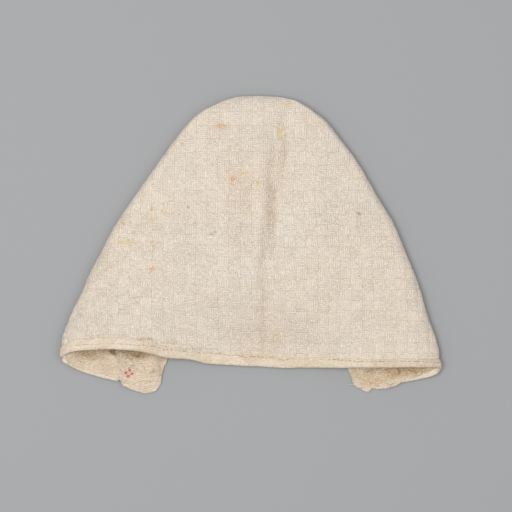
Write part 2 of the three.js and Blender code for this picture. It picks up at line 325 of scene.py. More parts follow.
def rim_curve(points, steps=60):
    """A smooth curve through the points, each span parted by the square root of its length."""
    ends = np.vstack([2 * points[0] - points[1], points, 2 * points[-1] - points[-2]])
    gaps = np.sqrt(np.linalg.norm(np.diff(ends, axis=0), axis=1))
    t = np.linspace(0, 1, steps, endpoint=False)[:, None]
    spans = []
    for k in range(1, len(ends) - 2):
        p0, p1, p2, p3 = ends[k - 1 : k + 3]
        d0, d1, d2 = gaps[k - 1 : k + 2]
        start = d1 * ((p1 - p0) / d0 - (p2 - p0) / (d0 + d1) + (p2 - p1) / d1)
        end = d1 * ((p2 - p1) / d1 - (p3 - p1) / (d1 + d2) + (p3 - p2) / d2)
        curved = (2 * start - 3 * (p2 - p1) + end) * -1
        spans.append(p1 + start * t + curved * t**2 + (start + end - 2 * (p2 - p1)) * t**3)
    spans.append(points[-1:])
    return np.vstack(spans)


BACK_CURVE = rim_curve(np.stack([
    BACK_RIM["across"] * HALF_WIDTH,
    BACK_RIM["up"] * np.where(BACK_RIM["up"] > 0, NAPE_RISE, FLAP_DROP),
], axis=1))
BACK_LENGTHS = lengths_along(BACK_CURVE)
BACK_LENGTH = BACK_LENGTHS[-1]


def hemmed_share(rim_share):
    """1 where the hem lies along the back rim, falling to 0 beyond its ends."""
    past_left = fade((rim_share - HEM_START) * BACK_LENGTH, HEM_RAMP)
    return past_left + fade((HEM_END - rim_share) * BACK_LENGTH, HEM_RAMP)


def edge_lumps():
    """How far the bare edge stands beyond the back rim's line, as x and y along the rim."""
    x, share = BACK_CURVE[:, 0], BACK_LENGTHS / BACK_LENGTH
    bare = smooth(share, HEM_START, HEM_START + BARE_RAMP) * (1 - smooth(share, HEM_END - BARE_RAMP, HEM_END))
    swell = EDGE_SWELL + uneven(BACK_LENGTHS, 0 * BACK_LENGTHS, EDGE_LUMPS)
    for low, rise, sink, high, out in zip(*EDGE_BUMPS.values()):
        swell = swell + out * smooth(x, low, rise) * (1 - smooth(x, sink, high))
    along = unit(np.gradient(BACK_CURVE, BACK_LENGTHS, axis=0))
    outwards = np.stack([along[:, 1], -along[:, 0]], axis=1)
    return outwards * (bare * swell)[:, None]


BACK_LUMPS = edge_lumps()
SQUARES = {"up": SECTIONS["up"], "left": SECTIONS["left"] ** 2, "right": SECTIONS["right"] ** 2}


def back_rim_at(share):
    """The back rim's x and y at a share of its length, and how far its edge's lumps move it."""
    along = share * BACK_LENGTH
    columns = [*BACK_CURVE.T, *BACK_LUMPS.T]
    return [np.interp(along, BACK_LENGTHS, column) for column in columns]


def side_at(y, leftwards):
    """Half the cap's width at height y, towards the left or the right."""
    left, right = (read(SQUARES, side, y / CROWN_DEPTH) for side in ("left", "right"))
    return HALF_WIDTH * np.sqrt(np.maximum(0, np.where(leftwards, left, right)))


def column_place(s):
    """Where a column stands across the cap, from -1 to 1, and the share of the thickness left there."""
    beyond = np.clip((np.abs(s) - SPAN_COLUMNS) / (1 - SPAN_COLUMNS), 0, 1)
    angle = beyond * math.pi / 2
    bent = np.sign(s) * (SPAN_SHARE + (1 - SPAN_SHARE) * np.sin(angle))
    return np.where(beyond > 0, bent, s / SPAN_COLUMNS * SPAN_SHARE), np.cos(angle)


def folds(x, y):
    """The height that the soft folds add to the front layer."""
    height = np.zeros_like(x)
    for low_x, low_y, high_x, high_y, crest, left, right in zip(*FOLDS.values()):
        across = x - mix(low_x, high_x, np.clip((y - low_y) / (high_y - low_y), 0, 1))
        beyond = np.maximum(0, np.maximum(low_y - y, y - high_y))
        height += crest * hill(across / np.where(across < 0, left, right), beyond / FOLD_END)
    return height


def wrinkles(x, y, above_rim):
    """Uneven slack of the cloth, and the small puckers that the hem's stitches draw in."""
    slack = uneven(x, y, SLACK) * smooth(above_rim, 0, SLACK_START)
    return slack + uneven(x, y, PUCKERS) * hill(above_rim / PUCKER_REACH)


def top_height(q, x, y, above_rim):
    """The height of the front layer's top side, before the folds at the sides round it off."""
    up = y / CROWN_DEPTH
    edge = SIDE_FOLD * read(SECTIONS, "fold", up)
    middle = LOFT * read(SECTIONS, "middle", up)
    height = edge + (middle - edge) * (1 - q * q)
    for across, high, spread, dent in zip(*DENTS.values()):
        far_x, far_y = x - across * HALF_WIDTH, y - high * CROWN_DEPTH
        height = height + dent * LOFT * hill(*(far / (spread * HALF_WIDTH) for far in (far_x, far_y)))
    crease_x = HALF_WIDTH * read(CREASE, "across", up)
    crease_spread = CREASE_WIDTH * read(CREASE, "width", up)
    crease_depth = LOFT * read(CREASE, "depth", up)
    height = height - crease_depth * hill((x - crease_x) / crease_spread) + folds(x, y)
    rim_height = WALL + (LOFT - WALL) * read(FRONT_RIM, "rise", q)
    return mix(height, rim_height, fade(above_rim, LIP_REACH)) + wrinkles(x, y, above_rim)


def under_height(rim_share, above_rim):
    """The height of the back layer's underside: on the table, but lifted where the hem lies under it."""
    lift = HEM_THICKNESS + HEM_CLEARANCE + HEM_TABLE_GAP
    return lift * hemmed_share(rim_share) * fade(above_rim - HEM_WIDTH, HEM_RAMP)


def fabric(turn, climb):
    """A point of the cloth's outside, before the knit's relief.

    turn runs once round the cap, over the front layer from the left fold to the right one and back over the
    back layer. climb runs up a column from the rim at 0 to the crown at 1.
    """
    round_cap = np.mod(turn, 1)
    front = round_cap <= 0.5
    s = np.where(front, 4 * round_cap - 1, 3 - 4 * round_cap)
    leftwards = s < 0
    rim_share = (s + 1) / 2
    q, fullness = column_place(s)
    rim_x, back_y, lump_x, lump_y = back_rim_at(rim_share)
    rim_y = np.where(front, CROWN_DEPTH * read(FRONT_RIM, "up", q), back_y)
    y = mix(rim_y, CROWN_DEPTH, climb)
    x = q * side_at(y, leftwards)
    shifted = x + (rim_x - q * side_at(rim_y, leftwards)) * fade(y - rim_y, FLAP_REACH)
    lumpy = fade(y - rim_y, EDGE_LUMP_REACH)
    x = np.where(front, x, shifted + lump_x * lumpy)
    middle = SIDE_FOLD * read(SECTIONS, "fold", y / CROWN_DEPTH) / 2
    into_dome = np.maximum(0, 1 - (CROWN_DEPTH - y) / FOLD_REACH)
    thickness = fullness * np.sqrt(np.maximum(0, 1 - into_dome**2))
    level = np.where(front, top_height(q, x, y, y - rim_y), under_height(rim_share, y - rim_y))
    return np.stack([x, y + np.where(front, 0, lump_y * lumpy), mix(middle, level, thickness)], axis=-1)


def rim(turns):
    """The points of the cloth's outside along its rim."""
    return fabric(turns, 0 * turns)


def fabric_frame(turn, climb):
    """The point of the cloth's outside, the way up the cloth there and the way outwards."""
    along = fabric(turn + PROBE, climb) - fabric(turn - PROBE, climb)
    up = unit(fabric(turn, climb + PROBE) - fabric(turn, climb - PROBE))
    return fabric(turn, climb), up, unit(np.cross(along, up))


# The cap's frame stands in the world where the CAD body stands.
BODY_LEFT, BODY_RIGHT = 1.0, 0.99  # how far that body reaches, as shares of HALF_WIDTH
BODY_CROWN = 199.0  # and how far up
ORIGIN = np.array([
    (BODY_LOW[0] + BODY_HIGH[0]) / 2 - (BODY_RIGHT - BODY_LEFT) / 2 * HALF_WIDTH * MM,
    BODY_HIGH[1] - BODY_CROWN * MM,
    BODY_LOW[2],
])


def to_world(points):
    return np.asarray(points, float) * MM + ORIGIN


def put_in_scene(name, data):
    thing = bpy.data.objects.new(name, data)
    bpy.context.scene.collection.objects.link(thing)
    return thing


def make_mesh(name, points, faces, maps=None, values=None):
    """A smooth mesh object from points in the cap's millimetres."""
    mesh = bpy.data.meshes.new(name)
    mesh.from_pydata(to_world(points).tolist(), [], [list(face) for face in faces])
    mesh.shade_smooth()
    for map_name, corners in (maps or {}).items():
        layer = mesh.uv_layers.new(name=map_name)
        layer.data.foreach_set("uv", np.asarray(corners, np.float32).ravel())
    for value_name, numbers in (values or {}).items():
        attribute = mesh.attributes.new(value_name, "FLOAT", "POINT")
        attribute.data.foreach_set("value", np.asarray(numbers, np.float32).ravel())
    return put_in_scene(name, mesh)


# The grid of the knitted body.
FRONT_COLUMNS = 256
BACK_COLUMNS = 160
COLUMNS = FRONT_COLUMNS + BACK_COLUMNS
SIDES = {"front": np.arange(FRONT_COLUMNS + 1), "back": np.arange(FRONT_COLUMNS, COLUMNS + 1) % COLUMNS}
FLAP_COLUMNS_SHARE = 0.78  # share of the back columns that stand on the two flaps
FLAP_SHARE = 0.56  # and the share of the back layer's half that a flap takes
ROW_BANDS = [(24.0, 28), (62.0, 30), (185.0, 70)]  # up to each height, that many rows
DOME_ROWS = 14
EDGE_STEPS = 4  # rings round the thickness of the wall at the rim
FINE_INNER_ROWS = 56  # rows from the rim inwards, where the inside shows
COARSE_STEP = 3

RELIEF_START = HEM_WIDTH * 0.7  # height above the rim up to which the hem holds the relief flat
RELIEF_RAMP = HEM_WIDTH * 0.5
DRAWN_IN_BELOW = 1.0  # height up to which the back layer is drawn in by its relief, to clear the table
FREE_ABOVE = 5.0
INNER_RELIEF = 0.7  # share of the relief that shows on the inside
LUMP_REACH = 60.0  # how far in from the rim the inside's lumps are gone
HEM_SMOOTHS = 0.8  # how much of them the hem takes away
SMOOTHED, SMOOTHED_RAMP = 3.0, 4.0  # up to which height above the rim, and over which it ends
INSIDE_PAINTED_SHADE_HEIGHTS = (14.0, 50.0)  # heights above the rim between which the inside grows darker with painted shade


def column_turns():
    """The turn of each column. Round the back they stand closer together on the flaps."""
    front = 0.5 * np.arange(FRONT_COLUMNS) / FRONT_COLUMNS
    share = np.arange(BACK_COLUMNS) / BACK_COLUMNS * 2 - 1
    half = np.interp(1 - np.abs(share), [0, FLAP_COLUMNS_SHARE, 1], [0, FLAP_SHARE, 1])
    return np.concatenate([front, 0.75 + 0.25 * np.sign(share) * (1 - half)])


def row_climbs():
    """The climb of each row. The first stands above the rim by the radius of its rounded edge."""
    rows, low = [], WALL / 2
    for high, count in ROW_BANDS:
        rows.append(mix(low, high, np.arange(count) / count))
        low = high
    dome = mix(low, CROWN_DEPTH, np.sin(np.arange(DOME_ROWS) / DOME_ROWS * math.pi / 2))
    return np.concatenate([*rows, dome]) / CROWN_DEPTH


def block_rows(y, rim_y):
    """How many blocks lie between the rim's line and height y."""
    level = y - rim_y * fade(y - rim_y, ROWS_FOLLOW_RIM)
    block = mix(BLOCK_HEIGHT_LOW, BLOCK_HEIGHT_HIGH, smooth(BLOCK_LEVELS, *BLOCK_STRETCH))
    counts = np.cumsum((BLOCK_LEVELS[1] - BLOCK_LEVELS[0]) / block)
    return np.interp(level, BLOCK_LEVELS, counts - np.interp(0, BLOCK_LEVELS, counts))


def knit_places(points):
    """Millimetres across and block coordinates of the front's or the back's grid, with both its folds."""
    y = points[:, :, 1]
    across = np.zeros(points.shape[:2])
    across[:, 1:] = np.cumsum(np.linalg.norm(np.diff(points[:, :, [0, 2]], axis=1), axis=2), axis=1)
    middle = np.argmin(np.abs(points[0, :, 0]))
    across = (across - across[:, middle : middle + 1]) * np.sign(points[0, -1, 0] - points[0, 0, 0])
    u = across / BLOCK_WIDTH + uneven(across, y, BLOCK_SWAY)
    return across, u, block_rows(y, points[0, :, 1]) + uneven(across, y, BLOCK_SWELL)


def block_relief(u, v):
    """The height of the knit's blocks: each is a small cushion, and purl ones stand a little proud."""
    column, row = np.floor(u), np.floor(v)
    power_u, power_v = BLOCK_FLATNESS
    cushion = (1 - np.abs(2 * (u - column) - 1) ** power_u) * (1 - np.abs(2 * (v - row) - 1) ** power_v)
    height = BLOCK_RELIEF * (BLOCK_LEAST + uneven(column, row, BLOCK_UNEVEN))
    return cushion * (height + PURL_RAISE * np.mod(column + row, 2))


# Stains and specks, with painted shade in and beside the crease and under the mouth's rim: the middle's x and
# y, the half width and half height and the strength of each.
STAINS = {
    ("front", "orange"): [
        (-22.8, 177.5, 4.8, 2.6, 1.15), (-14, 138, 2.7, 3.9, 1), (-72.8, 117.6, 2, 1.8, 0.95),
        (-41.2, 105.8, 1.9, 1.6, 0.9), (-73.5, 73.5, 3.2, 2.3, 0.75), (-63.2, 62.5, 2.6, 2, 0.4),
        (83.1, 117.6, 2.2, 1.6, 0.4), (48.5, 75, 2, 2, 0.35),
    ],
    ("front", "yellow"): [
        (-6.6, 143.3, 2.6, 2, 1.1), (4.4, 136.9, 4.6, 1.9, 1.1), (26.5, 194, 4.6, 2.6, 0.95),
        (21.3, 173, 4.2, 6, 0.95), (-79.4, 127.9, 2, 1.8, 1), (-64.2, 114.3, 2.6, 1.8, 1),
        (-72, 110.3, 2.6, 1.7, 1), (-92.6, 92.8, 9, 1.9, 0.95), (-72, 91.1, 2.6, 1.8, 0.95),
        (-21.3, 72, 2.2, 1.7, 0.6), (100.4, 81.6, 3, 2.6, 0.8), (16.9, 23.5, 3.2, 7.5, 0.45),
    ],
    # Ochre stains, and three broad faint rows that darken the lower middle and the lower left.
    ("front", "ochre_stain_and_painted_shade"): [
        (-94.4, 105.8, 1.5, 3.2, 0.8), (8, 20, 44, 22, 0.12), (-112, 62, 12, 50, 0.1),
        (-114.5, 24.4, 6, 1.6, 0.5), (-94, 23.6, 5, 1.5, 0.55), (-79, 21.6, 7.5, 1.6, 0.95),
        (-60, 19.2, 6, 1.3, 0.45), (-126, 40, 12, 14, 0.14),
    ],
    # Darkening of the crease, partly dirt and partly painted shade, with painted shade over the broad slope
    # to its left and along the low ridge beneath it.
    ("front", "dirt_and_painted_shade"): [
        (14.4, 112, 3.2, 28, 0.6), (22.5, 158, 4.4, 20, 0.42), (14, 154, 3, 22, 0.34),
        (-10, 126, 10, 48, 0.2), (7.6, 48, 4, 48, 0.3),
    ],
    # Dark specks, a faint streak in the crease, partly dirt and partly painted shade, and a streak of painted
    # shade along the hem's upper edge in the middle.
    ("front", "brown_speck_and_painted_shade"): [
        (-45.8, 118.4, 1.4, 1.4, 0.9), (-51.8, 163.9, 1.3, 1.2, 1), (77.9, 113.2, 1.3, 1.3, 1.3),
        (77.2, 108, 0.7, 5, 0.35), (-102.2, 38.2, 1, 1, 0.8), (-125.7, 39.7, 2.2, 1.6, 0.35),
        (-27.2, 100.7, 0.9, 0.9, 0.8), (-29.4, 98.5, 0.9, 0.9, 0.8), (53.7, 50, 0.9, 0.9, 0.6),
        (53.7, 42.6, 0.9, 0.9, 0.6), (15.2, 130, 2.6, 6, 0.3), (-133, 17.4, 2.6, 1, 0.5),
        (-43, 14.2, 12, 1, 0.45),
    ],
    # Under the left arch and over the right flap: ochre stains, and painted shade beneath the front layer's
    # rim.
    ("inside", "ochre_stain_and_painted_shade"): [
        (-121, 9.8, 14, 4.8, 1), (-100, 12.4, 22, 3.8, 0.9), (-84, 9.8, 11, 3.8, 1.1),
        (-64, 7, 9, 2.4, 0.6), (-108, 1, 12, 4, 0.3), (111, -0.6, 26, 5.4, 1.1), (104, -4.4, 8, 3, 1.2),
        (90, -6, 17, 6, 0.65),
    ],
    # Dark marks in the folds under the mouth's rim, partly painted shade and partly brown stains.
    ("inside", "brown_speck_and_painted_shade"): [
        (-103, 12, 2.2, 3, 1.7), (-84.6, 9.4, 4.4, 2.4, 1.2), (-90, 12.8, 7, 1.6, 0.7),
        (-123, 10, 5, 2, 0.5), (87, -2, 4, 1.6, 0.8), (108.6, -3, 1.4, 1.6, 0.9), (120, -2.4, 6, 1.4, 0.5),
    ],
    ("inside", "orange"): [
        (88, -10.8, 7, 2.2, 0.7), (95, -8.5, 4, 2, 0.4),
    ],
}
STAIN_STRENGTH = 0.75
STAIN_EDGE = (0.25, 1.5)  # where a stain begins to fade and is gone, in its half widths
# orange and yellow are stains; the other three tints carry painted shade as well.
TINTS = ("orange", "yellow", "ochre_stain_and_painted_shade", "dirt_and_painted_shade", "brown_speck_and_painted_shade")


def stain_share(points, side, tint):
    """How far a tint covers each point of the cap's front or of its inside."""
    x, y = points[..., 0], points[..., 1]
    x = x + uneven(x, y, STAIN_SWAY)
    y = y + uneven(x, y, STAIN_SWELL)
    share = np.zeros(x.shape)
    for at_x, at_y, wide, high, strength in STAINS.get((side, tint), []):
        far = np.hypot((x - at_x) / wide, (y - at_y) / high)
        share = np.maximum(share, strength * (1 - smooth(far, *STAIN_EDGE)))
    return STAIN_STRENGTH * share


# Where the four sides of the cloth lie on the bake map: its left and lower edge, width and height.
BAKE_PLACES = {
    ("outer", "front"): (0.005, 0.495, 0.99, 0.5),
    ("outer", "back"): (0.005, 0.005, 0.39, 0.48),
    ("inner", "back"): (0.405, 0.005, 0.39, 0.48),
    ("inner", "front"): (0.805, 0.005, 0.19, 0.48),
}
BAKE_ACROSS = 300.0  # millimetres of cloth over the width of such a place
BAKE_LOW, BAKE_HIGH = -26.0, 201.0


def bake_place(which, across, y):
    left, low, wide, high = BAKE_PLACES[which]
    u = left + wide * (across / BAKE_ACROSS + 0.5)
    v = low + high * (y - BAKE_LOW) / (BAKE_HIGH - BAKE_LOW)
    return np.stack([u, v], axis=-1)


def edge_rings(first_out, first_in, downward):
    """The rings round the thickness of the wall at the rim."""
    half, centre = (first_out - first_in) / 2, (first_out + first_in) / 2
    radius = np.linalg.norm(half, axis=-1, keepdims=True)
    angles = math.pi * np.arange(1, EDGE_STEPS + 1) / (EDGE_STEPS + 1)
    return [centre + half * math.cos(angle) + downward * radius * math.sin(angle) for angle in angles]


def ring_places(side, across, u, v, y, inner_rows):
    """Each ring's places on the knit and bake maps, down the outside, round the edge and up the inside.

    The first ring inside has them twice: where the edge ends and where the inside begins.
    """
    rows = [("outer", row, 0, 0) for row in reversed(range(len(y)))]
    for step in range(1, EDGE_STEPS + 2):
        low = -step * math.pi * WALL / 2 / (EDGE_STEPS + 1)
        rows.append(("outer", 0, low, low / BLOCK_HEIGHT_LOW))
    rows += [("inner", row, 0, 1) for row in inner_rows]
    return [
        np.column_stack([u[row], v[row] + shift, bake_place((layer, side), across[row], y[row] + low)])
        for layer, row, low, shift in rows
    ]


def ring_values(outer, inner, inner_rows):
    """One value for each point of the body, in the order of its rings, with the crown's two points last."""
    edge, crown = np.tile(outer[0], EDGE_STEPS), [outer[-1].mean()] * 2
    return np.concatenate([outer[::-1].ravel(), edge, inner[inner_rows].ravel(), crown])


def body_values(base, turns, inner_rows):
    """What the material reads at each point: the tints, the painted shade deep inside and where its purl side
    is.
    """
    front = (turns <= 0.5)[None, :]
    above_rim = base[:, :, 1] - base[:1, :, 1]
    nothing = np.zeros_like(above_rim)
    values = {}
    for tint in TINTS:
        seen = np.where(front, stain_share(base, "front", tint), 0)
        hidden = np.where(front, 0, stain_share(base, "inside", tint))
        values[tint] = ring_values(seen, hidden, inner_rows)
    # Painted shade, growing deeper inside the cap.
    values["inside"] = ring_values(nothing, smooth(above_rim, *INSIDE_PAINTED_SHADE_HEIGHTS), inner_rows)
    values["garter"] = ring_values(nothing, nothing + ~front, inner_rows)
    return values


def knitted_body():
    """The hollow knitted body, as one closed wall with a rounded edge at the rim."""
    turns, climbs = column_turns(), row_climbs()
    turn, climb = np.meshgrid(turns, climbs)
    hemmed = np.clip(np.where(turns <= 0.5, 1, hemmed_share(2 - 2 * turns)), 0, 1)
    base, _, out = fabric_frame(turn, climb + HEM_INSET * hemmed * (1 - climb) / CROWN_DEPTH)
    above_rim = base[:, :, 1] - base[:1, :, 1]
    places = {side: knit_places(base[:, columns]) for side, columns in SIDES.items()}

    relief = np.zeros(base.shape[:2])
    for side, columns in SIDES.items():
        relief[:, columns] = block_relief(*places[side][1:])
    relief = relief * (1 - hemmed * fade(above_rim - RELIEF_START, RELIEF_RAMP))
    drawn_in = np.where(turns > 0.5, 1, 0) * (1 - smooth(base[:, :, 2], DRAWN_IN_BELOW, FREE_ABOVE))
    outer = base + out * (relief - drawn_in * (BLOCK_RELIEF + PURL_RAISE))[..., None]
    lumps = uneven(base[..., 0], above_rim, PURL_LUMPS) * fade(above_rim, LUMP_REACH)
    lumps = lumps * (1 - HEM_SMOOTHS * hemmed * fade(above_rim - SMOOTHED, SMOOTHED_RAMP))
    inner = base - out * (WALL + INNER_RELIEF * relief + lumps)[..., None]

    last = len(climbs) - 1
    inner_rows = [*range(FINE_INNER_ROWS), *range(FINE_INNER_ROWS, last, COARSE_STEP), last]
    downward = -fabric_frame(turns, climbs[0] + 0 * turns)[1]
    rings = [*outer[::-1], *edge_rings(outer[0], inner[0], downward), *inner[inner_rows]]
    crown = np.array([0, CROWN_DEPTH, SIDE_FOLD * SECTIONS["fold"][-1] / 2])
    points = np.concatenate([*rings, crown[None], crown[None] - [[0, WALL, 0]]])

    faces, corners = [], []
    for side, columns in SIDES.items():
        starts, ends = columns[:-1], columns[1:]
        rows = ring_places(side, *places[side], base[:, columns, 1], inner_rows)
        for ring in range(len(rings) - 1):
            low, high = ring * COLUMNS, (ring + 1) * COLUMNS
            faces += [(low + a, high + a, high + b, low + b) for a, b in zip(starts, ends)]
            # From the first ring inside onwards the places stand one further down the list.
            row = ring if ring < len(outer) + EDGE_STEPS else ring + 1
            here, there = rows[row : row + 2]
            corners.append(np.stack([here[:-1], there[:-1], there[1:], here[1:]], axis=1))
        for layer, ring, row, way in (("outer", 0, 0, 1), ("inner", len(rings) - 1, -1, -1)):
            peak = len(points) - 2 if layer == "outer" else len(points) - 1
            first, second = (starts, ends)[::way]
            faces += [(ring * COLUMNS + a, ring * COLUMNS + b, peak) for a, b in zip(first, second)]
            top = [0, rows[row][:, 1].mean(), *bake_place((layer, side), 0.0, CROWN_DEPTH)]
            here, there = (rows[row][:-1], rows[row][1:])[::way]
            corners.append(np.stack([here, there, np.broadcast_to(top, here.shape)], axis=1))
    corners = np.concatenate([strip.reshape(-1, 4) for strip in corners])
    maps = {"Knit": corners[:, :2], "OFBake": corners[:, 2:]}
    return make_mesh("knit_body", points, faces, maps, body_values(base, turns, inner_rows))


# The hem across its length, seen from its left end. Its face goes down from the upper edge, which is sewn
# flat: each place is a share of the hem's width above its lower edge, and millimetres out from the wall.
HEM_FACE = [
    (1, -0.2), (1, 0.25), (0.97, 0.55), (0.9, 0.85), (0.8, 1.15), (0.66, 1.5), (0.5, 1.85), (0.34, 2.1),
    (0.2, 2.1), (0.09, 1.8), (0.02, 1.2), (0, 0.5),
]
# Then it wraps the edge of the wall. Here the places are millimetres above the hem's lower edge.
HEM_WRAP = [
    (0, -0.4), (0.06, -1.2), (0.3, -1.8), (0.75, -2.15), (1.3, -2.25), (1.9, -2.15), (2.5, -1.95),
    (2.8, -1.7), (2.4, -1.5), (1.75, -1.2), (1.65, -0.4), (1.9, 0.1),
]
HEM_SECTIONS = 620
HEM_LENGTH = 350.0
LEFT_END_TAPER = 3.0  # length over which the hem's left end is rounded off
RIGHT_END_TAPER = 14.0  # and its right end
LEAST_END = 0.02  # the square of the share of its section left there
CORNER_WRAP = 0.9  # how much wider the hem shows on the inside by the right fold
CORNER_REACH = (0.86, 0.98)  # shares of HALF_WIDTH between which it widens
CORNER_TURNS = (0.498, 0.512)  # and the turns between which it does so past the fold


def hem_height(turns, rim_x):
    """The hem's width over its face, from its lower edge to its upper one."""
    width = HEM_WIDTH * read(FRONT_RIM, "hem", rim_x / HALF_WIDTH)
    return width + HEM_OVERHANG + uneven(turns, 0 * turns, HEM_UNEVEN)


def by_the_rim(turns, above, out):
    """Points by the cloth's edge: millimetres above it, or below it, and out from the cloth."""
    point, up_way, out_way = fabric_frame(turns, np.maximum(above, 0) / (CROWN_DEPTH - rim(turns)[:, 1]))
    return point + up_way * np.minimum(above, 0)[:, None] + out_way * out[:, None]


def tube_faces(sections, sides, first=0):
    """The faces of a closed tube whose points come section after section."""
    faces = []
    for k in range(sections - 1):
        low, high = first + k * sides, first + (k + 1) * sides
        for side in range(sides):
            after = (side + 1) % sides
            faces.append((low + side, low + after, high + after, high + side))
    faces.append(tuple(first + side for side in reversed(range(sides))))
    faces.append(tuple(first + (sections - 1) * sides + side for side in range(sides)))
    return faces


def tube_map(along, around):
    """Map places of such a tube, from its places along and round it."""
    corners = []
    for here, there in zip(along[:-1], along[1:]):
        for low, high in zip(around[:-1], around[1:]):
            corners += [(here, low), (here, high), (there, high), (there, low)]
    for end in (along[0], along[-1]):
        corners += [(end, low) for low in around[:-1]]
    return corners


def turned_hem():
    """The hem, wrapped round the rim along the front and both folds."""
    first, last = -HEM_START / 2, 1 - HEM_END / 2
    turns = np.linspace(first, last, HEM_SECTIONS)
    rim_x = rim(turns)[:, 0]
    height = hem_height(turns, rim_x)
    length = HEM_LENGTH / (last - first)
    from_left, from_right = (turns - first) / LEFT_END_TAPER, (last - turns) / RIGHT_END_TAPER
    from_ends = np.clip(np.minimum(from_left, from_right) * length, 0, 1)
    full = np.sqrt(np.clip(1 - (1 - from_ends) ** 2, LEAST_END, 1))
    by_right_fold = smooth(rim_x / HALF_WIDTH, *CORNER_REACH) * smooth(turns, *CORNER_TURNS)
    wrap = 1 + CORNER_WRAP * by_right_fold
    sag = uneven(turns, 0 * turns, HEM_SAG)
    rings = []
    face = [(share * height, out) for share, out in HEM_FACE]
    for up, out in face + [(up * wrap, out) for up, out in HEM_WRAP]:
        thick = 1 + uneven(turns, up, HEM_THICK)
        rings.append(by_the_rim(turns, up - HEM_OVERHANG - sag, out * thick))
    points = np.stack(rings, axis=1)
    centre = points.mean(axis=1, keepdims=True)
    points = centre + (points - centre) * full[:, None, None]
    section = points[HEM_SECTIONS // 3]
    along, around = lengths_along(points[:, 0]), lengths_along(np.vstack([section, section[:1]]))
    faces = tube_faces(HEM_SECTIONS, points.shape[1])
    hem_map = tube_map(along / along[-1], around / around[-1])
    return make_mesh("hem_roll", points.reshape(-1, 3), faces, {"Hem": hem_map})


THREAD_SIDES = 6
THREAD_TAPER = 6  # power by which a thread keeps its thickness up to its ends
THREAD_END = 0.05  # the square of the share that is left there
STITCH_STEPS = 7


def thread_rings(path, radius, out_way):
    """Rings of points round a thread that follows a path and tapers at both ends."""
    along = unit(np.gradient(path, axis=0))
    side_way = unit(np.cross(along, out_way))
    lift_way = np.cross(side_way, along)
    share = np.linspace(-1, 1, len(path))
    radii = radius * np.sqrt(np.maximum(1 - share**THREAD_TAPER, THREAD_END))
    angles = (np.arange(THREAD_SIDES) / THREAD_SIDES * 2 * math.pi)[:, None]
    round_way = side_way[:, None] * np.cos(angles) + lift_way[:, None] * np.sin(angles)
    return path[:, None] + radii[:, None, None] * round_way


def thread_mesh(name, paths, radius, out_ways):
    """Many short threads as one mesh."""
    points, faces = [], []
    for path, out_way in zip(paths, out_ways):
        faces += tube_faces(len(path), THREAD_SIDES, len(points) * STITCH_STEPS * THREAD_SIDES)
        points.append(thread_rings(path, radius, out_way).reshape(-1, 3))
    return make_mesh(name, np.concatenate(points), faces)


SEAM_STITCH = 2.8
SEAM_PITCH = 3.1
SEAM_UNEVEN = 0.1  # share of the pitch by which a stitch comes early or late
SEAM_RADIUS = 0.17
SEAM_WANDER = 0.3
SEAM_SECOND_WANDER = 0.6  # strength of its slower swing beside the first one
SEAM_WAVE = 0.6  # the wider swing of the seam along the middle of the hem
SEAM_WAVE_TURN = 0.483  # radians of that swing to a millimetre across
SEAM_WAVE_PLACE, SEAM_WAVE_REACH = 10.0, 28.0
STITCH_LIFT = 0.9  # how far a stitch's middle stands out, in radii
STITCH_DIP = 0.45  # how far its ends sink into the cloth
SEAM_STARTS, SEAM_ENDS = 0.03, 0.495  # turns of the seam's two ends


def seam_wander(stitch):
    """How far the seam has strayed up where a stitch begins."""
    return SEAM_WANDER * (math.sin(stitch * 1.9) + SEAM_SECOND_WANDER * math.sin(stitch * 0.7))


def hem_seam():
    """The running stitches that hold the hem's upper part down, along the front."""
    turns = np.linspace(SEAM_STARTS, SEAM_ENDS, 2000)
    lengths = lengths_along(rim(turns))
    shares, outs = np.array(HEM_FACE).T
    share = np.linspace(0, 1, STITCH_STEPS)
    paths, out_ways = [], []
    for k in range(int(lengths[-1] / SEAM_PITCH)):
        start = (k + SEAM_UNEVEN * math.sin(k * 2.4)) * SEAM_PITCH
        turn = np.interp(start + share * SEAM_STITCH, lengths, turns)
        rim_x = rim(turn)[:, 0]
        sewn = read(FRONT_RIM, "sewn", rim_x / HALF_WIDTH)
        wave = np.sin(rim_x * SEAM_WAVE_TURN) * hill((rim_x - SEAM_WAVE_PLACE) / SEAM_WAVE_REACH)
        wander = mix(seam_wander(k), seam_wander(k + 1), share) + SEAM_WAVE * wave
        above = sewn * hem_height(turn, rim_x) - HEM_OVERHANG + wander
        lift = SEAM_RADIUS * STITCH_LIFT - STITCH_DIP * (2 * share - 1) ** 4
        paths.append(by_the_rim(turn, above, np.interp(sewn, shares[::-1], outs[::-1]) + lift))
        out_ways.append(fabric_frame(turn, 0 * turn)[2])
    return thread_mesh("hem_seam", paths, SEAM_RADIUS, out_ways)


UP = np.array([0.0, 0.0, 1.0])
ABOVE_CAP = 60.0


def height_of(piece, x, y):
    """The highest place of a piece over a point of the cap's plan."""
    hit, place, _, _ = piece.ray_cast(Vector(to_world((x, y, ABOVE_CAP))), Vector(-UP))
    assert hit
    return (place.z - ORIGIN[2]) / MM


# A small mark in red cross-stitch on the inside of the left flap: four crosses in a diamond.
MARK_PLACE = (-90.6, -3.6)
MARK_STEP = 2.25  # from the diamond's middle to the middle of each cross
CROSS_HALF = 1.1
MARK_RADIUS = 0.34
MARK_LEAN = math.radians(-12)
MARK_LIFT = 0.15  # how far a cross's ends would stand above the cloth
MARK_DIP = 0.35  # and how far they sink


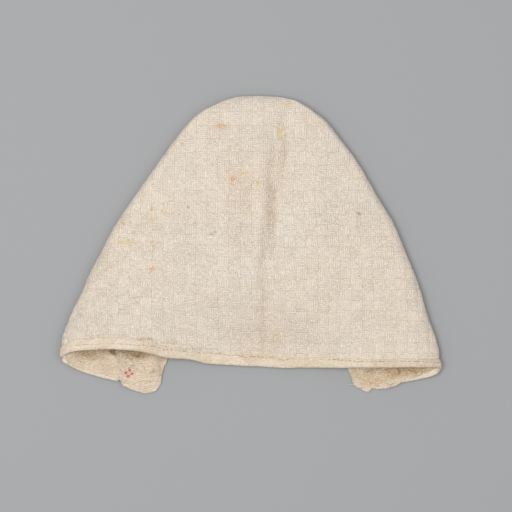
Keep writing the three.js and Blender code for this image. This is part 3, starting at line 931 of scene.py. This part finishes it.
def red_crosses(body):
    paths = []
    cos, sin = math.cos(MARK_LEAN), math.sin(MARK_LEAN)
    for across, up in ((1, 0), (0, 1), (-1, 0), (0, -1)):
        for lean in (-1, 1):
            over = 0.5 * MARK_RADIUS * (1 + lean)  # the second leg of a cross passes over the first
            path = []
            for share in np.linspace(-1, 1, STITCH_STEPS):
                at_x = across * MARK_STEP + share * CROSS_HALF
                at_y = up * MARK_STEP + share * lean * CROSS_HALF
                x = MARK_PLACE[0] + at_x * cos - at_y * sin
                y = MARK_PLACE[1] + at_x * sin + at_y * cos
                lift = MARK_LIFT + over * (1 - share**2) - MARK_DIP * share**4
                path.append((x, y, height_of(body, x, y) + lift))
            paths.append(np.array(path))
    return thread_mesh("red_crosses", paths, MARK_RADIUS, [UP] * len(paths))


# A thread end that has worked loose at the right flap's left corner, as x, y and z.
LOOSE_END = [
    (77.6, -12.6, 1.7), (76.2, -12.4, 1.9), (74.8, -12, 1.9), (73.6, -11.9, 1.5), (72.4, -12.2, 1),
    (71.4, -12.1, 0.6), (70.6, -11.7, 0.4),
]
LOOSE_RADIUS = 0.22


def loose_end():
    return thread_mesh("loose_end", [np.array(LOOSE_END)], LOOSE_RADIUS, [UP])


class Value:
    """A number, a colour or a place that a material's nodes work out."""

    def __init__(self, nodes, socket):
        self.nodes, self.socket = nodes, socket

    def __add__(self, other):
        return self.nodes.math("ADD", self, other)

    def __sub__(self, other):
        return self.nodes.math("SUBTRACT", self, other)

    def __rsub__(self, other):
        return self.nodes.math("SUBTRACT", other, self)

    def __mul__(self, other):
        return self.nodes.math("MULTIPLY", self, other)

    __radd__, __rmul__ = __add__, __mul__

    def floor(self):
        return self.nodes.math("FLOOR", self)

    def bell(self):
        """1 in the middle of each unit of the number, 0 at its ends."""
        far = (self.nodes.math("FRACT", self) - 0.5) * 2.0
        return 1.0 - far * far

    def ramp(self, low, high, start=0.0, end=1.0):
        """From start below low to end above high, with a smooth way between."""
        names = ("Value", "From Min", "From Max", "To Min", "To Max")
        inputs = dict(zip(names, (self, low, high, start, end)))
        return self.nodes.add("MapRange", 0, inputs, interpolation_type="SMOOTHSTEP")


class Nodes:
    """The nodes of one material. Each call gives the value that its node works out."""

    def __init__(self, name):
        self.material = bpy.data.materials.new(name)
        self.material.use_nodes = True
        self.tree = self.material.node_tree
        self.place = self.add("TexCoord", "Object", {})
        self.colour = None

    def put(self, socket, value):
        if isinstance(value, Value):
            self.tree.links.new(value.socket, socket)
        else:
            socket.default_value = value

    def add(self, kind, output, inputs, **settings):
        node = self.tree.nodes.new("ShaderNode" + kind)
        for name, value in settings.items():
            setattr(node, name, value)
        for key, value in inputs.items():
            self.put(node.inputs[key], value)
        return Value(self, node.outputs[output])

    def math(self, kind, *values):
        return self.add("Math", 0, dict(enumerate(values)), operation=kind)

    def across(self):
        return self.add("SeparateXYZ", 0, {0: self.place})

    def uv(self, name):
        place = self.add("UVMap", 0, {}, uv_map=name)
        return [self.add("SeparateXYZ", axis, {0: place}) for axis in (0, 1)]

    def noise(self, scale, detail, shift=0.0):
        """Noise by place. Differently shifted noises have nothing to do with each other."""
        place = self.place
        if shift:
            step = (shift, 2 * shift, 3 * shift)
            place = self.add("VectorMath", 0, {0: place, 1: step}, operation="ADD")
        return self.add("TexNoise", "Fac", {"Vector": place, "Scale": scale, "Detail": detail})

    def patches(self, scale, detail, shift, *ramp):
        return self.noise(scale, detail, shift).ramp(*ramp)

    def attribute(self, name):
        return self.add("Attribute", "Fac", {}, attribute_name=name)

    def chance(self, first, second):
        """A random number from 0 to 1 that stays the same for the same two numbers."""
        both = self.add("CombineXYZ", 0, {0: first, 1: second})
        return self.add("TexWhiteNoise", "Value", {"Vector": both})

    def over(self, share, colour, base=None):
        """Lays a colour over the present one, or over a first one, by a share."""
        node = self.tree.nodes.new("ShaderNodeMix")
        node.data_type = "RGBA"
        values = {"Factor_Float": share, "A_Color": base or self.colour, "B_Color": colour}
        for socket in node.inputs:
            if socket.identifier in values:
                self.put(socket, values[socket.identifier])
        self.colour = Value(self, next(s for s in node.outputs if s.identifier == "Result_Color"))

    def bump(self, height, distance, **normal):
        return self.add("Bump", 0, {"Strength": 1.0, "Distance": distance, "Height": height, **normal})

    def finish(self, roughness, specular, **others):
        """Gives the surface its values, and the material back."""
        shader = self.tree.nodes["Principled BSDF"]
        values = {"Roughness": roughness, "Specular IOR Level": specular, **others}
        for name, value in values.items():
            self.put(shader.inputs[name.replace("_", " ")], value)
        return self.material


def tone(red, green, blue):
    """A colour given as it shows on a screen, from 0 to 255."""
    def linear(value):
        value = value / 255
        return value / 12.92 if value <= 0.04045 else ((value + 0.055) / 1.055) ** 2.4

    return (linear(red), linear(green), linear(blue), 1.0)


CREAM = tone(232, 220, 205)
CREAM_WARM = tone(234, 220, 201)
CREAM_COOL = tone(228, 219, 208)
# Pale flecks painted on the yarn as its tiny highlights.
YARN_HIGHLIGHT = tone(246, 239, 228)
HEM_CREAM = tone(243, 230, 209)
HEM_DEEP_CREAM = tone(234, 217, 193)
HEM_BLUSH = tone(212, 184, 156)
INSIDE_CREAM = tone(241, 223, 199)
# Painted shade deep inside the cap.
INSIDE_PAINTED_SHADE = tone(205, 180, 140)
# Dark brown: painted shade in the hollows and along the block borders, and the darker flecks, blocks and
# fibres of the yarn.
DARK_FLECK_AND_SHADE_BROWN = tone(150, 128, 100)
DOT_BROWN = tone(142, 112, 78)
THREAD_BROWN = tone(142, 110, 92)
THREAD_PALE = tone(196, 174, 148)
MARK_RED = tone(188, 52, 72)
MARK_PINK = tone(214, 96, 108)
FLOOR_GREY = tone(160, 161, 163)
# The tints' colours; the last three also serve as painted shade.
TINT_COLOURS = {
    "orange": tone(226, 176, 128),
    "yellow": tone(224, 202, 152),
    "brown_speck_and_painted_shade": tone(118, 90, 62),
    "ochre_stain_and_painted_shade": tone(190, 154, 104),
    "dirt_and_painted_shade": tone(176, 152, 122),
}

# Patches of the materials: the noise's scale, detail and shift, then the values of the noise between which
# a patch grows, and the shares that it grows from and to.
KNIT_CLOUDS = (26.0, 3.0, 0.0, 0.35, 0.65, 0.0, 1.0)
KNIT_BLOTCHES = (120.0, 3.0, 0.17, 0.3, 0.7, 0.2, 0.8)
# The next row: patches of painted shade in the hollows between stitches.
KNIT_HOLLOW_SHADE = (75.0, 2.0, 0.59, 0.35, 0.65, 0.18, 0.32)
KNIT_DOTS = (480.0, 1.0, 0.91, 0.54, 0.68, 0.0, 1.0)
KNIT_DOTTED = (60.0, 2.0, 0.66, 0.42, 0.62, 0.08, 0.5)
# The next row: painted highlights on the yarn.
KNIT_HIGHLIGHT_FLECKS = (620.0, 1.0, 0.43, 0.52, 0.72, 0.0, 0.34)
BROKEN_LINES = (210.0, 2.0, 0.77, 0.46, 0.62, 0.0, 1.0)
HEM_CLOUDS = (60.0, 3.0, 0.0, 0.35, 0.65, 0.0, 1.0)
HEM_BLUSHES = (48.0, 3.0, 0.37, 0.48, 0.66, 0.0, 0.42)
# The next row: painted highlights on the hem's yarn.
HEM_HIGHLIGHT_FLECKS = (560.0, 1.0, 0.43, 0.52, 0.72, 0.0, 0.4)
THREAD_STRETCHES = (70.0, 2.0, 0.0, 0.4, 0.62, 0.0, 1.0)
# Noises without a ramp of their own: scale, detail and shift.
KNIT_GRAIN = (820.0, 2.0)
KNIT_SWAY = (330.0, 2.0)
KNIT_SWELL = (330.0, 2.0, 0.31)
HEM_GRAIN = (760.0, 2.0)
HEM_SWAY = (300.0, 2.0, 0.2)
FIBRES = (900.0, 2.0, 0.21)
# Ramps: the values that each runs between, then its shares where they aren't 0 and 1.
STAIN_GRAIN = (0.3, 0.7, 0.6, 1.1)
KNIT_DARK_GRAIN = (0.5, 0.72, 0.0, 0.22)
HEM_DARK_GRAIN = (0.5, 0.72, 0.0, 0.24)
DARK_FIBRES = (0.45, 0.7, 0.0, 0.35)
# The next two: where the painted shade along the block borders begins, across and up.
SIDE_LINES = (0.78, 1.0)
ROW_LINES = (0.84, 1.0)

STITCH_SWAY, STITCH_SWELL = 0.3, 0.34  # how far the stitches stray across and up, in blocks
STITCH_LEAN = 1.3  # how far a plain stitch's two legs lean, in rows
PURL_STEP = 0.5  # how far each purl row is set over the one below, in stitches
LEAST_LINK, LEAST_ARC = 0.7, 0.5  # the least height between two plain stitches and two purl ones
KNIT_HEIGHTS = (0.45, 1.15)  # least and greatest share of its height that a stitch has by chance
HEM_HEIGHTS = (0.5, 1.2)
GARTER_CREAM, INSIDE_SHADE_STRENGTH = 0.9, 0.8  # how far the inside takes its own cream, and further in its painted shade
BLOCK_TINT = 0.055  # how far a block can be darker than its neighbours
GARTER_HOLLOW_SHADE = 0.2  # how much darker the painted shade in the inside's hollows between stitches is
PLAIN_DOTS = 0.2  # share of the dots that shows on the outside
ROW_LINE_SHARE = 0.75  # strength of the painted shade on the lying lines between blocks beside the upright ones
# how dark the painted shade along the block borders is
LINE_SHADE = 0.21
GRAIN_BUMP, KNIT_BUMP, HEM_BUMP, THREAD_BUMP = 0.00025, 0.0004, 0.0003, 0.0002  # in metres


def stitch_height(nodes, u, v, garter):
    """The stitches' height from 0 to 1: upright wales in plain blocks, short lying arcs in purl ones.

    Where garter is 1 all of it is purl. No two stitches stand equally high.
    """
    across, up = u * BLOCK_STITCHES, v * BLOCK_ROWS
    chance = nodes.chance(across.floor(), up.floor())
    centred = nodes.math("ABSOLUTE", nodes.math("FRACT", across) - 0.5)
    plain = across.bell() * mix(LEAST_LINK, 1.0, (up + centred * STITCH_LEAN).bell())
    arcs = up.bell() * mix(LEAST_ARC, 1.0, (up.floor() * PURL_STEP + across).bell())
    purl = nodes.math("MAXIMUM", nodes.math("FLOORED_MODULO", u.floor() + v.floor(), 2.0), garter)
    return mix(plain, arcs, purl) * mix(*KNIT_HEIGHTS, chance)


def knit_material():
    nodes = Nodes("knitted cotton")
    garter = nodes.attribute("garter")
    flat_u, flat_v = nodes.uv("Knit")
    u = flat_u + (nodes.noise(*KNIT_SWAY) - 0.5) * STITCH_SWAY
    v = flat_v + (nodes.noise(*KNIT_SWELL) - 0.5) * STITCH_SWELL
    height = stitch_height(nodes, u, v, garter)
    grain = nodes.noise(*KNIT_GRAIN)
    nodes.over(nodes.patches(*KNIT_CLOUDS), CREAM_WARM, CREAM_COOL)
    nodes.over(nodes.patches(*KNIT_BLOTCHES), CREAM)
    nodes.over(garter * GARTER_CREAM, INSIDE_CREAM)
    # Painted shade deep inside the cap.
    nodes.over(nodes.attribute("inside") * INSIDE_SHADE_STRENGTH, INSIDE_PAINTED_SHADE)
    # The tints: stains, with painted shade in the crease and under the mouth's rim.
    for tint in TINTS:
        nodes.over(nodes.attribute(tint) * grain.ramp(*STAIN_GRAIN), TINT_COLOURS[tint])
    block = nodes.chance((flat_u + 100.0).floor(), flat_v.floor())
    nodes.over(block * block * BLOCK_TINT, DARK_FLECK_AND_SHADE_BROWN)
    # Painted shade in the hollows between stitches, darkest where a stitch is lowest.
    depth = garter * GARTER_HOLLOW_SHADE + nodes.patches(*KNIT_HOLLOW_SHADE)
    nodes.over((1.0 - height) * depth, DARK_FLECK_AND_SHADE_BROWN)
    dots = nodes.patches(*KNIT_DOTS) * mix(PLAIN_DOTS, 1.0, garter)
    nodes.over(dots * nodes.patches(*KNIT_DOTTED), DOT_BROWN)
    nodes.over(grain.ramp(*KNIT_DARK_GRAIN), DARK_FLECK_AND_SHADE_BROWN)
    # Painted highlights: pale flecks on the yarn.
    nodes.over(nodes.patches(*KNIT_HIGHLIGHT_FLECKS), YARN_HIGHLIGHT)
    # Painted shade along the borders between the blocks, broken here and there.
    side_line = (1.0 - u.bell()).ramp(*SIDE_LINES)
    row_line = (1.0 - v.bell()).ramp(*ROW_LINES)
    lines = nodes.math("MAXIMUM", side_line, row_line * ROW_LINE_SHARE) + side_line * row_line
    nodes.over(lines * nodes.patches(*BROKEN_LINES) * (1.0 - garter) * LINE_SHADE, DARK_FLECK_AND_SHADE_BROWN)
    normal = nodes.bump(height, KNIT_BUMP, Normal=nodes.bump(grain, GRAIN_BUMP))
    return nodes.finish(
        0.92, 0.2, Base_Color=nodes.colour, Normal=normal, Sheen_Weight=0.35, Sheen_Roughness=0.5
    )


HEM_WALES = 26.0  # stitches round the hem's section
HEM_COURSES = 250.0  # and along its length
HEM_TWIST = 12.0  # how many stitches its courses run on in once round it
HEM_STRAY = 1.6  # how far its wales stray, in stitches
LEAST_HEM_LINK = 0.4
# how dark the painted shade in the hollows between the hem's stitches is
HEM_HOLLOW_SHADE = 0.34
WORN_HEM = (0.03, 0.06)  # metres across: the hem is less stained to the right of this stretch
WORN_LEAST = 0.15


def hem_material():
    nodes = Nodes("hem cotton")
    grain = nodes.noise(*HEM_GRAIN)
    sway = nodes.noise(*HEM_SWAY) - 0.5
    along, around = nodes.uv("Hem")
    wales = around * HEM_WALES + sway * HEM_STRAY
    courses = along * HEM_COURSES + around * HEM_TWIST
    chance = nodes.chance(wales.floor(), courses.floor())
    height = wales.bell() * mix(LEAST_HEM_LINK, 1.0, (courses + sway).bell()) * mix(*HEM_HEIGHTS, chance)
    nodes.over(nodes.patches(*HEM_CLOUDS), HEM_DEEP_CREAM, HEM_CREAM)
    worn = nodes.across().ramp(*WORN_HEM, 1.0, WORN_LEAST)
    nodes.over(nodes.patches(*HEM_BLUSHES) * worn, HEM_BLUSH)
    # Painted shade in the hollows between the hem's stitches.
    nodes.over((1.0 - height) * HEM_HOLLOW_SHADE, DARK_FLECK_AND_SHADE_BROWN)
    nodes.over(grain.ramp(*HEM_DARK_GRAIN), DARK_FLECK_AND_SHADE_BROWN)
    # Painted highlights: pale flecks on the hem's yarn.
    nodes.over(nodes.patches(*HEM_HIGHLIGHT_FLECKS), YARN_HIGHLIGHT)
    normal = nodes.bump(height, HEM_BUMP, Normal=nodes.bump(grain, GRAIN_BUMP))
    return nodes.finish(0.9, 0.2, Base_Color=nodes.colour, Normal=normal, Sheen_Weight=0.1)


PALE_SEAM = (-0.07, -0.05)  # metres across: the seam's thread is pale to the left of this stretch


def thread_material(name, first, second, paler_left=0.0):
    """Spun thread, which goes from one colour to the other in uneven stretches.

    paler_left is how far the second colour takes over towards the cap's left corner.
    """
    nodes = Nodes(name)
    leftwards = nodes.across().ramp(*PALE_SEAM, paler_left, 0.0)
    fibres = nodes.noise(*FIBRES)
    nodes.over(nodes.math("MAXIMUM", nodes.patches(*THREAD_STRETCHES), leftwards), second, first)
    nodes.over(fibres.ramp(*DARK_FIBRES), DARK_FLECK_AND_SHADE_BROWN)
    return nodes.finish(0.85, 0.25, Base_Color=nodes.colour, Normal=nodes.bump(fibres, THREAD_BUMP))


FLOOR_HALF = 3.0
MM_PER_PIXEL = 0.735  # how much of the cap a pixel of the photograph covers
IMAGE_SIZE = 512
VIEW_CENTRE = (3.7, -7.7)  # what lies under the middle of the photograph
VIEW_HEIGHT = 8.0  # the height of the outline above the table
CAMERA_DISTANCE = 1.5
SENSOR_WIDTH = 36.0
FURTHEST = 20.0  # metres that the camera sees


def stage():
    """A plain pale floor."""
    mesh = bpy.data.meshes.new("floor")
    corners = [(x * FLOOR_HALF, y * FLOOR_HALF, 0) for x, y in ((-1, -1), (1, -1), (1, 1), (-1, 1))]
    mesh.from_pydata(corners, [], [(0, 1, 2, 3)])
    mesh.materials.append(Nodes("pale floor").finish(0.95, 0.1, Base_Color=FLOOR_GREY))
    put_in_scene("floor", mesh)


def camera():
    """The camera straight above."""
    data = bpy.data.cameras.new("camera")
    data.sensor_width = SENSOR_WIDTH
    data.lens = SENSOR_WIDTH * CAMERA_DISTANCE / (MM_PER_PIXEL * IMAGE_SIZE * MM)
    data.clip_end = FURTHEST
    eye = put_in_scene("camera", data)
    eye.location = (VIEW_CENTRE[0] * MM, VIEW_CENTRE[1] * MM, CAMERA_DISTANCE + VIEW_HEIGHT * MM)
    bpy.context.scene.camera = eye


def light(name, place, size, power, colour):
    data = bpy.data.lights.new(name, "AREA")
    data.shape = "DISK"
    data.size = size
    data.energy = power
    data.color = colour
    lamp = put_in_scene(name, data)
    lamp.location = place
    lamp.rotation_euler = (-Vector(place)).to_track_quat("-Z", "Y").to_euler()


def lighting():
    """Soft light, mostly from the upper left, and a pale studio round it."""
    light("key", (-0.5, 0.04, 1.72), 1.2, 20.0, (1.0, 0.995, 0.985))
    light("fill", (0.9, 0.1, 1.7), 1.4, 6.5, (1.0, 0.995, 0.99))
    world = bpy.data.worlds.new("studio")
    world.use_nodes = True
    background = world.node_tree.nodes["Background"]
    background.inputs["Color"].default_value = (1.0, 0.995, 0.99, 1.0)
    background.inputs["Strength"].default_value = 0.47
    bpy.context.scene.world = world
    bpy.context.scene.view_settings.view_transform = "Standard"


camera()
lighting()
stage()

body = knitted_body()
hem = turned_hem()
seam = hem_seam()
bpy.context.view_layer.update()
mark = red_crosses(body)
loose = loose_end()
for piece, slot, material in (
    (body, "knitted_cotton", knit_material()),
    (hem, "hem_cotton", hem_material()),
    (seam, "hem_cotton", thread_material("sewing thread", THREAD_BROWN, THREAD_PALE, 1.0)),
    (mark, "knitted_cotton", thread_material("red thread", MARK_RED, MARK_PINK)),
    (loose, "knitted_cotton", thread_material("loose cotton", CREAM_WARM, THREAD_PALE)),
):
    piece.data.materials.append(material)
    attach(piece, "root")
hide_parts("knitted_body")
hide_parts("turned_hem")
